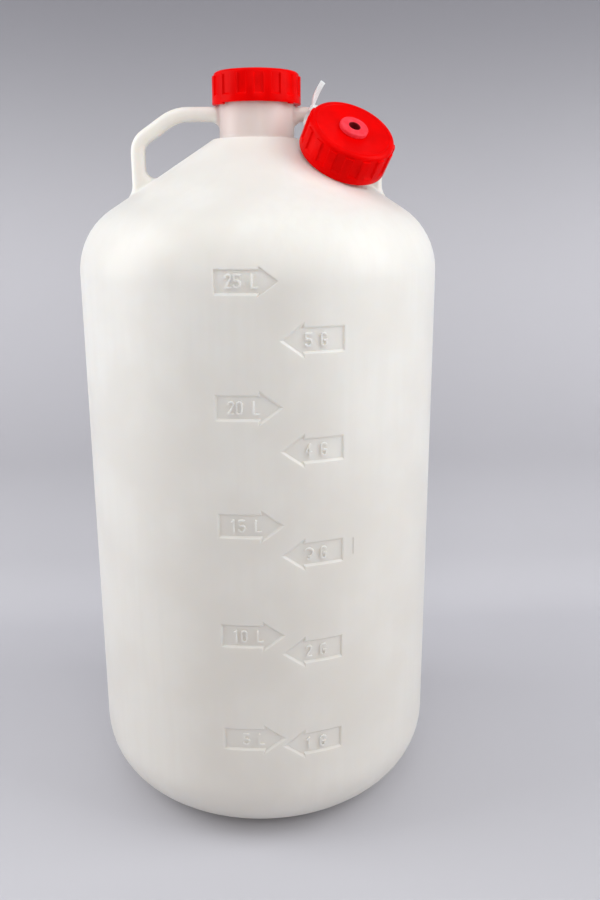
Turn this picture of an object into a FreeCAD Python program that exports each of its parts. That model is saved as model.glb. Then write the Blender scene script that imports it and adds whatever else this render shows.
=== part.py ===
"""A 25 litre blow-moulded carboy with two grips, its screw cap, and a bored spare cap tied to a grip.

Units are millimetres.  +Z is up, the base stands on z = 0 and the bottle's axis is the Z axis.
The grips lie in the XZ plane and the raised graduations face -Y.
"""
import FreeCAD, Part

import math
import os

import Sketcher
from FreeCAD import Placement, Rotation, Vector

# ---------------------------------------------------------------- driving dimensions

SIZES = {
    # bottle
    "body_radius": 140.0,
    "side_height": 436.6,
    "base_rounding": 57.75,
    "shoulder_rounding": 56.3,
    "shoulder_angle": 32.87,
    "plateau_ledge": 4.9,
    "plateau_edge": 2.5,
    "neck_radius": 28.9,
    "neck_foot": 1.5,
    "dish_radius": 66.0,
    "dish_depth": 2.5,
    "dish_slope": 6.0,
    # grips
    "grip_reach": 97.2,
    "grip_rise": 18.2,
    "bar_thick": 10.5,
    "bar_depth": 16.0,
    "bar_edge": 4.5,
    "bar_flat": 62.2,
    "bar_slope": 34.5,
    "upper_bend": 32.0,
    "lower_bend": 14.0,
    "foot_flare": 15.0,
    "hole_round": 7.5,
    "grip_blend": 2.5,
    # caps, both from one mould
    "cap_lift": 25.1,
    "cap_height": 23.1,
    "cap_wall": 3.4,
    "cap_band_step": 1.3,
    "cap_band": 5.0,
    "cap_rib_top": 19.7,
    "cap_edge": 3.0,
    "cap_rim": 4.4,
    "cap_rim_step": 0.5,
    "stub_turn": -58.0,
    "stub_half_turn": 9.0,
    "stub_drop": 1.1,
    "scrap_turn": -76.0,
    "scrap_half_turn": 9.0,
    "scrap_drop": 0.4,
    "nub_turn": 51.0,
    "nub_half_turn": 3.5,
    "nub_drop": 0.8,
    "cap_top": 2.6,
    "cap_spin": 3.2,
    "rib_total": 16,
    "rib_angle": 9.6,
    "rib_flank": 1.9,
    "fit_clearance": 0.3,
    # spare cap, where it leans
    "spare_tilt": 41.5,
    "spare_turn": -64.0,
    "spare_spin": 7.25,
    "spare_inboard": 33.9,
    "spare_tuck": 7.3,
    # grommet in the spare cap
    "grommet_radius": 10.8,
    "grommet_head": 3.0,
    "grommet_waist": 7.6,
    "grommet_tail": 9.4,
    "grommet_bore": 4.2,
    "grommet_edge": 0.8,
    # cable tie
    "tie_wide": 3.8,
    "tie_thick": 1.2,
    "tie_gap": 0.4,
    "tie_hole_turn": 17.0,
    "tie_hole_height": 9.0,
    "tie_hole_radius": 3.0,
    "tie_head": 5.4,
    "tie_head_depth": 3.8,
    "tie_off_neck": 13.4,
    "tie_lean": 28.6,
    "tie_tail": 17.0,
    # graduations
    "mark_depth": 1.1,
    "mark_slope": 1.6,
    "litre_top": 439.3,
    "litre_pitch": 85.2,
    "gallon_top": 399.8,
    "gallon_pitch": 76.96,
    "arrow_half": 7.6,
    "arrow_head_half": 9.6,
    "litre_start": -30.5,
    "litre_barb": -0.4,
    "litre_tip": 12.7,
    "gallon_tip": 15.3,
    "gallon_barb": 28.6,
    "gallon_end": 58.2,
    "figure_tall": 9.7,
    "figure_wide": 4.9,
    "figure_stroke": 1.3,
}

# what follows the sizes above: the ledge round the neck, the caps, and where the spare cap and the tie go
FITTED = {
    "plateau_radius": "=neck_radius + plateau_ledge",
    "cap_smooth_radius": "=neck_radius + fit_clearance + cap_wall",
    "cap_band_radius": "=neck_radius + fit_clearance + cap_wall + cap_band_step",
    "spare_forward": "=neck_radius + fit_clearance + cap_wall + cap_band_step - spare_tuck",
    "tie_place": "=neck_radius + tie_off_neck",
}

doc = FreeCAD.newDocument("carboy")
sheet = doc.addObject("Spreadsheet::Sheet", "sizes")
for row, (alias, content) in enumerate({**SIZES, **FITTED}.items(), start=1):
    sheet.set("A%d" % row, alias)
    sheet.set("B%d" % row, str(content))
    sheet.setAlias("B%d" % row, alias)
doc.recompute()


def size(alias):
    """A driving dimension, read from the sheet."""
    return float(sheet.get(alias))


# ---------------------------------------------------------------- sizes that follow from them

body_radius = size("body_radius")
shoulder_angle = math.radians(size("shoulder_angle"))
shoulder_rounding = size("shoulder_rounding")
shoulder_end_radius = body_radius - shoulder_rounding + shoulder_rounding * math.sin(shoulder_angle)
shoulder_end_height = size("side_height") + shoulder_rounding * math.cos(shoulder_angle)
plateau_height = shoulder_end_height + (shoulder_end_radius - size("plateau_radius")) * math.tan(shoulder_angle)
cap_base = plateau_height + size("cap_lift")
cap_bore = size("neck_radius") + size("fit_clearance")
cap_inside = size("cap_height") - size("cap_top")
neck_top = cap_base + cap_inside - size("fit_clearance")
bar_height = plateau_height + size("grip_rise")
bar_half = size("bar_thick") / 2
bar_front = size("bar_depth") / 2


def cone_height(radius):
    """Height of the sloping shoulder at a distance from the axis."""
    return plateau_height - (radius - size("plateau_radius")) * math.tan(shoulder_angle)


# ---------------------------------------------------------------- sketch helpers

START, END, ARC_CENTRE = 1, 2, 3


def origin_plane(body, role):
    """One of a body's own origin planes or axes."""
    return [item for item in body.Origin.OriginFeatures if item.Role == role][0]


def new_sketch(body, name, role="XZ_Plane"):
    """An empty sketch attached to an origin plane of its body."""
    sketch = body.newObject("Sketcher::SketchObject", name)
    sketch.AttachmentSupport = (origin_plane(body, role), [""])
    sketch.MapMode = "FlatFace"
    return sketch


def draw_chain(sketch, chain):
    """Draw a closed outline of ("line", p, q) and ("arc", p, through, q) and join its ends."""
    ends = []
    for item in chain:
        points = [Vector(p[0], p[1], 0) for p in item[1:]]
        if item[0] == "line":
            index = sketch.addGeometry(Part.LineSegment(points[0], points[1]), False)
        else:
            index = sketch.addGeometry(Part.Arc(*points), False)
        forward = sketch.getPoint(index, START).distanceToPoint(points[0]) < 1e-6
        ends.append((index, START, END) if forward else (index, END, START))
    for (index, _, last), (following, first, _) in zip(ends, ends[1:] + ends[:1]):
        sketch.addConstraint(Sketcher.Constraint("Coincident", index, last, following, first))
    return [index for index, _, _ in ends]


def bind(sketch, constraint, expression):
    """Add a dimension to a sketch and tie it to the sheet."""
    number = sketch.addConstraint(constraint)
    sketch.setExpression("Constraints[%d]" % number, expression)


def bind_radius(sketch, index, expression):
    """Tie an arc's radius to the sheet."""
    bind(sketch, Sketcher.Constraint("Radius", index, sketch.Geometry[index].Radius), expression)


def bind_place(sketch, index, which, across, up):
    """Tie a point's two distances from the sketch's origin to the sheet; None leaves one free."""
    point = sketch.getPoint(index, which)
    if across:
        bind(sketch, Sketcher.Constraint("DistanceX", -1, START, index, which, point.x), across)
    if up:
        bind(sketch, Sketcher.Constraint("DistanceY", -1, START, index, which, point.y), up)


def tangent_arc(before, corner, after, radius):
    """The arc that rounds a corner: its first, middle and last point."""
    corner = Vector(corner[0], corner[1], 0)
    back = (Vector(before[0], before[1], 0) - corner).normalize()
    ahead = (Vector(after[0], after[1], 0) - corner).normalize()
    half_angle = back.getAngle(ahead) / 2
    reach = radius / math.tan(half_angle)
    bisector = (back + ahead).normalize()
    middle = corner + bisector * (radius / math.sin(half_angle) - radius)
    first = corner + back * reach
    last = corner + ahead * reach
    return (first.x, first.y), (middle.x, middle.y), (last.x, last.y)


def crossing(point, slope, across):
    """Where a sloping line reaches a given distance across."""
    return (across, point[1] + slope * (across - point[0]))


# ---------------------------------------------------------------- bottle

def make_bottle():
    """The round bottle, revolved from its outer profile up to the top of the neck."""
    body = doc.addObject("PartDesign::Body", "bottle_form")
    sketch = new_sketch(body, "bottle_profile")
    base_rounding = size("base_rounding")
    base_edge = (body_radius - base_rounding, 0.0)
    base_middle = (base_edge[0] + base_rounding * math.sin(math.pi / 4),
                   base_rounding * (1 - math.cos(math.pi / 4)))
    shoulder_centre = (body_radius - shoulder_rounding, size("side_height"))
    half_turn = (math.pi / 2 - shoulder_angle) / 2
    shoulder_middle = (shoulder_centre[0] + shoulder_rounding * math.cos(half_turn),
                       shoulder_centre[1] + shoulder_rounding * math.sin(half_turn))
    dish_floor = size("dish_radius") - size("dish_slope")
    points = {
        "dish_centre": (0.0, size("dish_depth")),
        "dish_floor": (dish_floor, size("dish_depth")),
        "dish_edge": (size("dish_radius"), 0.0),
        "base_edge": base_edge,
        "side_foot": (body_radius, base_rounding),
        "side_top": (body_radius, size("side_height")),
        "shoulder_end": (shoulder_end_radius, shoulder_end_height),
        "plateau": (size("plateau_radius"), plateau_height),
        "neck_foot": (size("neck_radius"), plateau_height),
        "neck_top": (size("neck_radius"), neck_top),
        "top": (0.0, neck_top),
    }
    order = list(points.values())
    chain = [("line", p, q) for p, q in zip(order, order[1:] + order[:1])]
    chain[3] = ("arc", base_edge, base_middle, points["side_foot"])
    chain[5] = ("arc", points["side_top"], shoulder_middle, points["shoulder_end"])
    lines = draw_chain(sketch, chain)
    bind_radius(sketch, lines[3], "sizes.base_rounding")
    bind_radius(sketch, lines[5], "sizes.shoulder_rounding")
    bind_place(sketch, lines[0], END, "sizes.dish_radius - sizes.dish_slope", "sizes.dish_depth")
    bind_place(sketch, lines[1], END, "sizes.dish_radius", None)
    bind_place(sketch, lines[4], START, "sizes.body_radius", "sizes.base_rounding")
    bind_place(sketch, lines[4], END, None, "sizes.side_height")
    bind_place(sketch, lines[6], END, "sizes.plateau_radius", None)
    bind_place(sketch, lines[7], END, "sizes.neck_radius", None)
    turned = body.newObject("PartDesign::Revolution", "bottle_turned")
    turned.Profile = sketch
    turned.ReferenceAxis = (sketch, ["V_Axis"])
    turned.Angle = 360
    doc.recompute()
    softened = body.newObject("PartDesign::Fillet", "plateau_softened")
    softened.Base = (turned, rings(turned.Shape, size("plateau_radius"), plateau_height))
    softened.setExpression("Radius", "sizes.plateau_edge")
    doc.recompute()
    rooted = body.newObject("PartDesign::Fillet", "neck_softened")
    rooted.Base = (softened, rings(softened.Shape, size("neck_radius"), plateau_height))
    rooted.setExpression("Radius", "sizes.neck_foot")
    doc.recompute()
    return body


def rings(shape, radius, height):
    """Names of the round edges of a given radius and height."""
    names = []
    for number, edge in enumerate(shape.Edges, start=1):
        points = [vertex.Point for vertex in edge.Vertexes]
        if all(abs(math.hypot(p.x, p.y) - radius) < 1e-3 and abs(p.z - height) < 1e-3 for p in points):
            names.append("Edge%d" % number)
    return names


def grip_outline():
    """Outline of the right-hand grip in the XZ plane, its two ends buried in the bottle."""
    slope = math.radians(size("bar_slope"))
    sink = 0.6
    reach = size("grip_reach")
    root = size("neck_radius") / 2
    outer_line = bar_height + bar_half
    inner_line = bar_height - bar_half
    shift = bar_half * math.tan(slope / 2)
    outer_bend = (size("bar_flat") + shift, outer_line)
    inner_bend = (size("bar_flat") - shift, inner_line)
    outer_elbow = crossing(outer_bend, -math.tan(slope), reach)
    inner_elbow = crossing(inner_bend, -math.tan(slope), reach - 2 * bar_half)
    foot = (reach, cone_height(reach) - sink)
    foot_out = (reach + 30.0, cone_height(reach + 30.0) - sink)
    heel = (reach - 2 * bar_half, cone_height(reach - 2 * bar_half) - sink)
    heel_in = (size("plateau_radius"), plateau_height - sink)
    neck_corner = (size("neck_radius") - sink, inner_line)
    neck_low = (size("neck_radius") - sink, plateau_height)
    outer_top = tangent_arc((root, outer_line), outer_bend, outer_elbow, size("upper_bend") + bar_half)
    outer_low = tangent_arc(outer_bend, outer_elbow, foot, size("lower_bend") + bar_half)
    flare = tangent_arc(outer_elbow, foot, foot_out, size("foot_flare"))
    heel_arc = tangent_arc(heel_in, heel, inner_elbow, size("hole_round"))
    inner_low = tangent_arc(heel, inner_elbow, inner_bend, size("lower_bend") - bar_half)
    inner_top = tangent_arc(inner_elbow, inner_bend, neck_corner, size("upper_bend") - bar_half)
    neck_arc = tangent_arc(inner_bend, neck_corner, neck_low, size("hole_round"))
    depth = 8.0
    inward = (-depth * math.sin(shoulder_angle), -depth * math.cos(shoulder_angle))
    flare_low = (flare[2][0] + inward[0], flare[2][1] + inward[1])
    heel_low = (heel_arc[0][0] + inward[0], heel_arc[0][1] + inward[1])
    return [
        ("line", (root, outer_line), outer_top[0]),
        ("arc",) + outer_top,
        ("line", outer_top[2], outer_low[0]),
        ("arc",) + outer_low,
        ("line", outer_low[2], flare[0]),
        ("arc",) + flare,
        ("line", flare[2], flare_low),
        ("line", flare_low, heel_low),
        ("line", heel_low, heel_arc[0]),
        ("arc",) + heel_arc,
        ("line", heel_arc[2], inner_low[0]),
        ("arc",) + inner_low,
        ("line", inner_low[2], inner_top[0]),
        ("arc",) + inner_top,
        ("line", inner_top[2], neck_arc[0]),
        ("arc",) + neck_arc,
        ("line", neck_arc[2], (root, neck_arc[2][1])),
        ("line", (root, neck_arc[2][1]), (root, outer_line)),
    ]


def make_grip():
    """The right-hand grip: a bar bent down from the neck to the shoulder, rounded all along."""
    body = doc.addObject("PartDesign::Body", "grip_form")
    sketch = new_sketch(body, "grip_outline")
    lines = draw_chain(sketch, grip_outline())
    bind_radius(sketch, lines[1], "sizes.upper_bend + sizes.bar_thick / 2")
    bind_radius(sketch, lines[3], "sizes.lower_bend + sizes.bar_thick / 2")
    bind_radius(sketch, lines[5], "sizes.foot_flare")
    bind_radius(sketch, lines[9], "sizes.hole_round")
    bind_place(sketch, lines[4], START, "sizes.grip_reach", None)
    bind_place(sketch, lines[10], START, "sizes.grip_reach - sizes.bar_thick", None)
    bar = body.newObject("PartDesign::Pad", "grip_bar")
    bar.Profile = sketch
    bar.SideType = "Symmetric"
    bar.setExpression("Length", "sizes.bar_depth")
    doc.recompute()
    rounded = body.newObject("PartDesign::Fillet", "grip_rounded")
    rounded.Base = (bar, grip_edges(bar.Shape))
    rounded.setExpression("Radius", "sizes.bar_edge")
    doc.recompute()
    return body


def grip_edges(shape):
    """Names of the bar's long edges, front and back, where the bar stands clear of the bottle."""
    names = []
    for number, edge in enumerate(shape.Edges, start=1):
        points = [vertex.Point for vertex in edge.Vertexes]
        long_edge = all(abs(abs(p.y) - bar_front) < 1e-3 for p in points)
        long_edge = long_edge and points[0].y * points[-1].y > 0
        clear = [p for p in points if p.z > cone_height(p.x) - 1.0 and p.x > size("neck_radius") / 2 + 1.0]
        if long_edge and clear:
            names.append("Edge%d" % number)
    return names


# ---------------------------------------------------------------- graduations

def panel_outlines():
    """The sunk arrow panels as outlines of (arc length round the wall, height)."""
    half = size("arrow_half")
    head_half = size("arrow_head_half")
    outlines = []
    for step in range(5):
        level = size("litre_top") - step * size("litre_pitch")
        start, barb, tip = size("litre_start"), size("litre_barb"), size("litre_tip")
        outlines.append([(start, level - half), (barb, level - half), (barb, level - head_half), (tip, level),
                         (barb, level + head_half), (barb, level + half), (start, level + half)])
        level = size("gallon_top") - step * size("gallon_pitch")
        start, barb, tip = size("gallon_end"), size("gallon_barb"), size("gallon_tip")
        outlines.append([(start, level + half), (barb, level + half), (barb, level + head_half), (tip, level),
                         (barb, level - head_half), (barb, level - half), (start, level - half)])
    return outlines


def on_wall(arc, height):
    """A point of the wall seen square on from the front, by arc length and height."""
    return Vector(body_radius * math.sin(arc / body_radius), 0, height)


def front_prism(points):
    """A prism through the front wall with the given outline."""
    corners = [on_wall(arc, height) for arc, height in points]
    face = Part.Face(Part.makePolygon(corners + corners[:1]))
    return face.extrude(Vector(0, -body_radius - 10, 0))


def line_stroke(first, last):
    """A straight stroke of a figure, with round ends."""
    half = size("figure_stroke") / 2
    run = Vector(last[0] - first[0], last[1] - first[1], 0)
    side = Vector(-run.y, run.x, 0).normalize() * half
    corners = [(first[0] + side.x, first[1] + side.y), (last[0] + side.x, last[1] + side.y),
               (last[0] - side.x, last[1] - side.y), (first[0] - side.x, first[1] - side.y)]
    return [front_prism(corners), dot(first), dot(last)]


def dot(centre):
    """The round end of a stroke."""
    place = on_wall(centre[0], centre[1])
    return Part.makeCylinder(size("figure_stroke") / 2, body_radius + 10, place, Vector(0, -1, 0))


def arc_stroke(centre, radius, first_angle, last_angle):
    """A curved stroke of a figure, with round ends."""
    half = size("figure_stroke") / 2
    middle = on_wall(centre[0], centre[1])
    angles = [math.radians(first_angle + (last_angle - first_angle) * share) for share in (0, 0.5, 1)]
    outer, inner = [[middle + Vector(math.cos(a), 0, math.sin(a)) * (radius + offset) for a in angles]
                    for offset in (half, -half)]
    wire = Part.Wire([Part.Arc(*outer).toShape(), Part.makeLine(outer[2], inner[2]),
                      Part.Arc(*reversed(inner)).toShape(), Part.makeLine(inner[0], outer[0])])
    band = Part.Face(wire).extrude(Vector(0, -body_radius - 10, 0))
    ends = [(centre[0] + radius * math.cos(angles[k]), centre[1] + radius * math.sin(angles[k])) for k in (0, 2)]
    return [band, dot(ends[0]), dot(ends[1])]


def figure_strokes(figure, left, low):
    """The strokes of one figure or unit letter whose lower left corner is given."""
    stroke = size("figure_stroke")
    x0, y0 = left + stroke / 2, low + stroke / 2
    wide, tall = size("figure_wide") - stroke, size("figure_tall") - stroke
    x1, y1 = x0 + wide, y0 + tall
    xm = x0 + wide / 2
    bend = wide / 2
    bowl = tall * 0.28
    small = tall - 2 * bowl
    if figure == "0":
        return (arc_stroke((xm, y1 - bend), bend, 0, 180) + arc_stroke((xm, y0 + bend), bend, 180, 360)
                + line_stroke((x0, y0 + bend), (x0, y1 - bend)) + line_stroke((x1, y0 + bend), (x1, y1 - bend)))
    if figure == "1":
        return line_stroke((xm, y0), (xm, y1)) + line_stroke((xm, y1), (xm - bend * 0.8, y1 - bend * 0.8))
    if figure == "2":
        return (arc_stroke((xm, y1 - bend), bend, 180, -30) + line_stroke((x0, y0), (x1, y0))
                + line_stroke((x0, y0), (xm + bend * math.cos(math.radians(30)), y1 - bend * 1.5)))
    if figure == "3":
        upper = small / 2 + bowl / 2
        lower = (tall - 2 * upper) / 2
        return (arc_stroke((xm, y1 - upper), upper, 150, -90)
                + arc_stroke((xm, y0 + lower), lower, 90, -150))
    if figure == "4":
        shelf = y0 + tall / 3
        post = x0 + wide * 0.72
        return (line_stroke((post, y0), (post, y1)) + line_stroke((post, y1), (x0, shelf))
                + line_stroke((x0, shelf), (x1, shelf)))
    if figure == "5":
        return (line_stroke((x1, y1), (x0, y1)) + line_stroke((x0, y1), (x0, y0 + 2 * bowl))
                + arc_stroke((xm, y0 + bowl), bowl, 110, -150))
    if figure == "L":
        return line_stroke((x0, y1), (x0, y0)) + line_stroke((x0, y0), (x1, y0))
    if figure == "G":
        return (arc_stroke((xm, y1 - bend), bend, 20, 180) + arc_stroke((xm, y0 + bend), bend, 180, 360)
                + line_stroke((x0, y0 + bend), (x0, y1 - bend)) + line_stroke((x1, y0 + bend), (x1, y0 + tall * 0.45))
                + line_stroke((x1, y0 + tall * 0.45), (xm, y0 + tall * 0.45)))
    raise ValueError("no strokes for " + figure)


def figure_row(text, right_edges, level):
    """The strokes of a short row of figures, each placed by its right-hand edge."""
    strokes = []
    for figure, right in zip(text, right_edges):
        strokes += figure_strokes(figure, right - size("figure_wide"), level - size("figure_tall") / 2)
    return strokes


def make_mark_floor():
    """The bottle's side and rounded shoulder, smaller by the depth of the graduations."""
    body = doc.addObject("PartDesign::Body", "mark_floor")
    sketch = new_sketch(body, "mark_floor_profile")
    inner = shoulder_rounding - size("mark_depth")
    centre = (body_radius - shoulder_rounding, size("side_height"))
    middle = (centre[0] + inner * math.cos(math.pi / 4), centre[1] + inner * math.sin(math.pi / 4))
    side = centre[0] + inner
    top = centre[1] + inner
    lines = draw_chain(sketch, [
        ("line", (0, 0), (side, 0)),
        ("line", (side, 0), (side, centre[1])),
        ("arc", (side, centre[1]), middle, (centre[0], top)),
        ("line", (centre[0], top), (0, top)),
        ("line", (0, top), (0, 0)),
    ])
    bind_radius(sketch, lines[2], "sizes.shoulder_rounding - sizes.mark_depth")
    bind_place(sketch, lines[1], END, "sizes.body_radius - sizes.mark_depth", "sizes.side_height")
    turned = body.newObject("PartDesign::Revolution", "mark_floor_turned")
    turned.Profile = sketch
    turned.ReferenceAxis = (sketch, ["V_Axis"])
    turned.Angle = 360
    doc.recompute()
    return body


def make_graduations():
    """The cutter for the sunk panels, less the figures that stay raised in them."""
    outer = doc.addObject("Part::Cylinder", "mark_ring_outer")
    outer.setExpression("Radius", "sizes.body_radius + 1")
    outer.setExpression("Height", "sizes.side_height + sizes.shoulder_rounding")
    ring = doc.addObject("Part::Cut", "mark_ring")
    ring.Base, ring.Tool = outer, make_mark_floor()
    panels = doc.addObject("Part::Feature", "mark_panels")
    panels.Shape = Part.makeCompound([front_prism(outline) for outline in panel_outlines()])
    figures = doc.addObject("Part::Feature", "mark_figures")
    strokes = []
    litre_unit = size("litre_barb") - 0.5
    gallon_figure = size("gallon_barb") + 6.7
    for step in range(5):
        level = size("litre_top") - step * size("litre_pitch")
        text = "%d" % (25 - 5 * step)
        edges = [litre_unit - 17.4, litre_unit - 11.7][-len(text):]
        strokes += figure_row(text + "L", edges + [litre_unit], level)
        level = size("gallon_top") - step * size("gallon_pitch")
        strokes += figure_row("%dG" % (5 - step), [gallon_figure, gallon_figure + 11.2], level)
    figures.Shape = strokes[0].fuse(strokes[1:])
    sunk = doc.addObject("Part::Common", "mark_sunk")
    sunk.Base, sunk.Tool = ring, panels
    cutter = doc.addObject("Part::Cut", "mark_cutter")
    cutter.Base, cutter.Tool = sunk, figures
    return cutter


def panel_rim_edges(shape):
    """Numbers of the edges where the sunk panels break the straight side's surface."""
    outlines = panel_outlines()
    numbers = []
    for number, edge in enumerate(shape.Edges, start=1):
        points = [vertex.Point for vertex in edge.Vertexes]
        if len(points) < 2:
            continue
        on_surface = all(abs(math.hypot(p.x, p.y) - body_radius) < 1e-3 and p.y < 0 for p in points)
        on_surface = on_surface and all(p.z < size("side_height") - 0.01 for p in points)
        if on_surface and all(on_outline(p, outlines) for p in points):
            numbers.append(number)
    return numbers


def on_outline(point, outlines):
    """Whether a point of the wall lies on the outline of one of the panels."""
    place = Vector(point.x, point.z, 0)
    for outline in outlines:
        corners = [Vector(on_wall(arc, height).x, height, 0) for arc, height in outline]
        for first, last in zip(corners, corners[1:] + corners[:1]):
            along = (last - first).normalize()
            share = (place - first).dot(along)
            off = (place - first - along * share).Length
            if off < 1e-3 and -1e-3 < share < (last - first).Length + 1e-3:
                return True
    return False


def junction_edges(shape):
    """Numbers of the edges where the grips meet the sloping shoulder and the neck."""
    numbers = []
    outermost = shoulder_end_radius - 1.0
    for number, edge in enumerate(shape.Edges, start=1):
        span = edge.LastParameter - edge.FirstParameter
        points = [edge.valueAt(edge.FirstParameter + span * share) for share in (0, 0.5, 1)]
        radii = [math.hypot(p.x, p.y) for p in points]
        near_grip = all(abs(p.y) < bar_front + 1e-3 for p in points)
        on_cone = all(abs(p.z - cone_height(r)) < 0.02 and size("bar_flat") < r < outermost
                      for p, r in zip(points, radii))
        on_neck = all(abs(r - size("neck_radius")) < 0.02 and plateau_height + 2 < p.z < cap_base
                      for p, r in zip(points, radii))
        if near_grip and (on_cone or on_neck):
            numbers.append(number)
    return numbers


def make_carboy():
    """Bottle and both grips in one piece, with the graduations sunk into the front."""
    bottle = make_bottle()
    grip = make_grip()
    other_grip = doc.addObject("Part::Mirroring", "grip_mirrored")
    other_grip.Source = grip
    other_grip.Normal = Vector(1, 0, 0)
    joined = doc.addObject("Part::MultiFuse", "bottle_with_grips")
    joined.Shapes = [bottle, grip, other_grip]
    joined.Refine = True
    doc.recompute()
    blended = doc.addObject("Part::Fillet", "bottle_blended")
    blended.Base = joined
    blended.Edges = [(number, size("grip_blend"), size("grip_blend")) for number in junction_edges(joined.Shape)]
    doc.recompute()
    marked = doc.addObject("Part::Cut", "bottle_marked")
    marked.Base, marked.Tool = blended, make_graduations()
    doc.recompute()
    carboy = doc.addObject("Part::Chamfer", "carboy")
    carboy.Base = marked
    sloped = size("mark_slope")
    carboy.Edges = [(number, sloped, size("mark_depth") * 0.9) for number in panel_rim_edges(marked.Shape)]
    doc.recompute()
    return carboy


# ---------------------------------------------------------------- caps

def cap_profile():
    """Half section of a cap, open end at the bottom: (radius, height)."""
    band, smooth, tall = size("cap_band_radius"), size("cap_smooth_radius"), size("cap_height")
    edge, rim = size("cap_edge"), size("cap_rim")
    lead = 1.0
    corner = tangent_arc((smooth, 0), (smooth, tall), (0, tall), edge)
    inside_corner = (cap_bore, cap_inside)
    return [
        ("line", (cap_bore + lead, 0), (band, 0)),
        ("line", (band, 0), (band, size("cap_band"))),
        ("line", (band, size("cap_band")), (smooth, size("cap_band") + band - smooth)),
        ("line", (smooth, size("cap_band") + band - smooth), corner[0]),
        ("arc",) + corner,
        ("line", corner[2], (smooth - rim, tall)),
        ("line", (smooth - rim, tall), (smooth - rim - size("cap_rim_step"), tall - size("cap_rim_step"))),
        ("line", (smooth - rim - size("cap_rim_step"), tall - size("cap_rim_step")),
         (0, tall - size("cap_rim_step"))),
        ("line", (0, tall - size("cap_rim_step")), (0, cap_inside)),
        ("line", (0, cap_inside), inside_corner),
        ("line", inside_corner, (cap_bore, lead)),
        ("line", (cap_bore, lead), (cap_bore + lead, 0)),
    ]


def make_cap_form(name):
    """A ribbed screw cap standing on its open end at the origin."""
    body = doc.addObject("PartDesign::Body", name)
    sketch = new_sketch(body, name + "_profile")
    lines = draw_chain(sketch, cap_profile())
    bind_radius(sketch, lines[4], "sizes.cap_edge")
    bind_place(sketch, lines[1], START, "sizes.cap_band_radius", None)
    bind_place(sketch, lines[1], END, None, "sizes.cap_band")
    bind_place(sketch, lines[3], START, "sizes.cap_smooth_radius", None)
    bind_place(sketch, lines[5], END, None, "sizes.cap_height")
    bind_place(sketch, lines[10], START, "sizes.neck_radius + sizes.fit_clearance",
               "sizes.cap_height - sizes.cap_top")
    cup = body.newObject("PartDesign::Revolution", name + "_cup")
    cup.Profile = sketch
    cup.ReferenceAxis = (sketch, ["V_Axis"])
    cup.Angle = 360
    doc.recompute()
    rib_sketch = new_sketch(body, name + "_rib", "XY_Plane")
    rib_sketch.AttachmentOffset = Placement(Vector(0, 0, size("cap_band") - 1.0), Rotation())
    half_out = math.radians(size("rib_angle") / 2)
    half_in = half_out + math.radians(size("rib_flank"))
    first_rib = -math.pi / 2 + math.pi / size("rib_total")
    band, root = size("cap_band_radius"), size("cap_smooth_radius") - 1.0

    def polar(radius, angle):
        return (radius * math.cos(first_rib + angle), radius * math.sin(first_rib + angle))

    rib_lines = draw_chain(rib_sketch, [
        ("line", polar(root, -half_in), polar(band, -half_out)),
        ("arc", polar(band, -half_out), polar(band, 0), polar(band, half_out)),
        ("line", polar(band, half_out), polar(root, half_in)),
        ("line", polar(root, half_in), polar(root, -half_in)),
    ])
    bind_radius(rib_sketch, rib_lines[1], "sizes.cap_band_radius")
    rib = body.newObject("PartDesign::Pad", name + "_rib_pad")
    rib.Profile = rib_sketch
    rib.setExpression("Length", "sizes.cap_rib_top - sizes.cap_band + 1")
    doc.recompute()
    ribs = body.newObject("PartDesign::PolarPattern", name + "_ribs")
    ribs.Originals = [rib]
    ribs.Axis = (origin_plane(body, "Z_Axis"), [""])
    ribs.Angle = 360
    ribs.setExpression("Occurrences", "sizes.rib_total")
    body.Tip = ribs
    doc.recompute()
    return body


def ring_sector(inner, outer, low, high, middle_angle, half_angle):
    """A short piece of ring; angles in degrees, measured from the front towards +X."""
    ring = Part.makeCylinder(outer, high - low, Vector(0, 0, low))
    ring = ring.cut(Part.makeCylinder(inner, high - low, Vector(0, 0, low)))
    far = 2 * outer
    angles = [math.radians(middle_angle + turn * half_angle - 90) for turn in (-1, 1)]
    corners = [Vector(0, 0, low)] + [Vector(far * math.cos(a), far * math.sin(a), low) for a in angles]
    wedge = Part.Face(Part.makePolygon(corners + corners[:1])).extrude(Vector(0, 0, high - low))
    return ring.common(wedge)


def make_screw_cap():
    """The cap on the neck, with the torn stubs of its lock ring under the skirt."""
    form = make_cap_form("screw_cap_form")
    stubs = doc.addObject("Part::Feature", "lock_ring_stubs")
    inner = cap_bore + 2.0
    outer = size("cap_band_radius") - 0.2
    pieces = [ring_sector(inner, outer, -size(torn + "_drop"), 1.0, size(torn + "_turn"), size(torn + "_half_turn"))
              for torn in ("stub", "scrap", "nub")]
    stubs.Shape = pieces[0].fuse(pieces[1:])
    cap = doc.addObject("Part::MultiFuse", "screw_cap")
    cap.Shapes = [form, stubs]
    turn = Rotation(Vector(0, 0, 1), size("cap_spin"))
    form.Placement = Placement(Vector(), turn)
    cap.Placement = Placement(Vector(0, 0, cap_base), Rotation())
    doc.recompute()
    return cap


# ---------------------------------------------------------------- where the spare cap leans

spare_tilt = math.radians(size("spare_tilt"))
spare_turn = math.radians(size("spare_turn"))
spare_axis = Vector(math.sin(spare_tilt) * math.cos(spare_turn),
                    math.sin(spare_tilt) * math.sin(spare_turn), math.cos(spare_tilt))
spare_up = (Vector(0, 0, 1) - spare_axis * spare_axis.z).normalize()
spare_side = spare_axis.cross(spare_up)


def spare_direction(angle):
    """A direction square to the spare cap's axis, in degrees from its highest side."""
    turn = math.radians(angle)
    return spare_up * math.cos(turn) + spare_side * math.sin(turn)


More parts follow.
